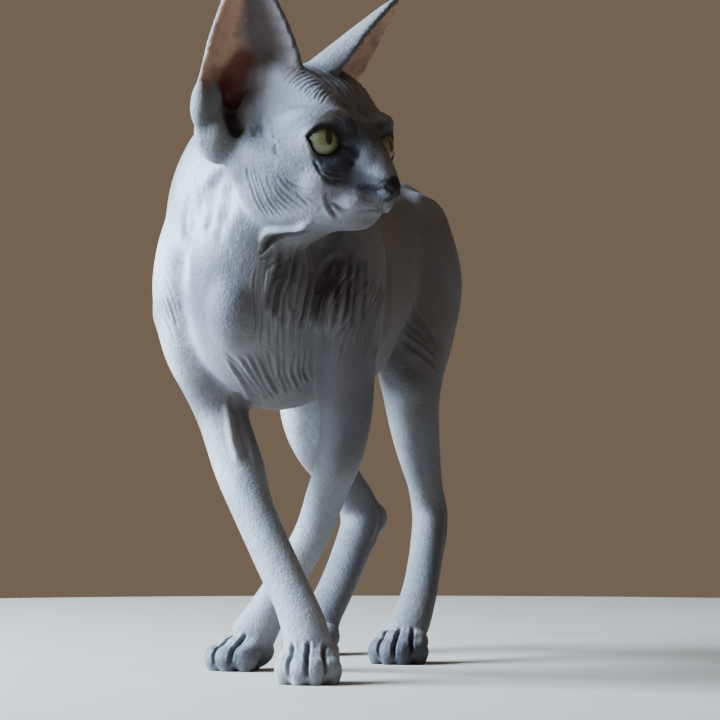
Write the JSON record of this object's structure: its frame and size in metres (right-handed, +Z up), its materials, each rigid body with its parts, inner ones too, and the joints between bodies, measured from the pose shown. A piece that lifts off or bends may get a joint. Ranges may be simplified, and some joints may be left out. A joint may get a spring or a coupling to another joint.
{
  "type": "sphynx cat",
  "caption": "Life-size still model of a hairless blue-grey cat, walking with crossed forelegs and its head turned to its left",
  "frame": {"origin": "on the floor, under the middle of the whole cat's box", "axes": "-Y is the way the body faces, +X is the cat's left, +Z is up"},
  "size_m": [0.1642, 0.5808, 0.3918],
  "materials": {
    "skin": "matte",
    "ear_skin": "matte",
    "paw_skin": "matte",
    "eye": "gloss"
  },
  "bodies": {
    "root": {"head": "skin", "neck": "skin", "chest": "skin", "belly": "skin", "rump": "skin", "tail_root": "skin", "tail_middle": "skin", "tail_tip": "skin", "upper_arm_left": "skin", "upper_arm_right": "skin", "forearm_left": "skin", "forearm_right": "skin", "thigh_left": "skin", "thigh_right": "skin", "shank_left": "skin", "shank_right": "skin", "forefoot_left": "paw_skin", "forefoot_right": "paw_skin", "hind_foot_left": "paw_skin", "hind_foot_right": "paw_skin", "ear_left": "ear_skin", "ear_right": "ear_skin", "eye_left": "eye", "eye_right": "eye"}
  },
  "joints": []
}
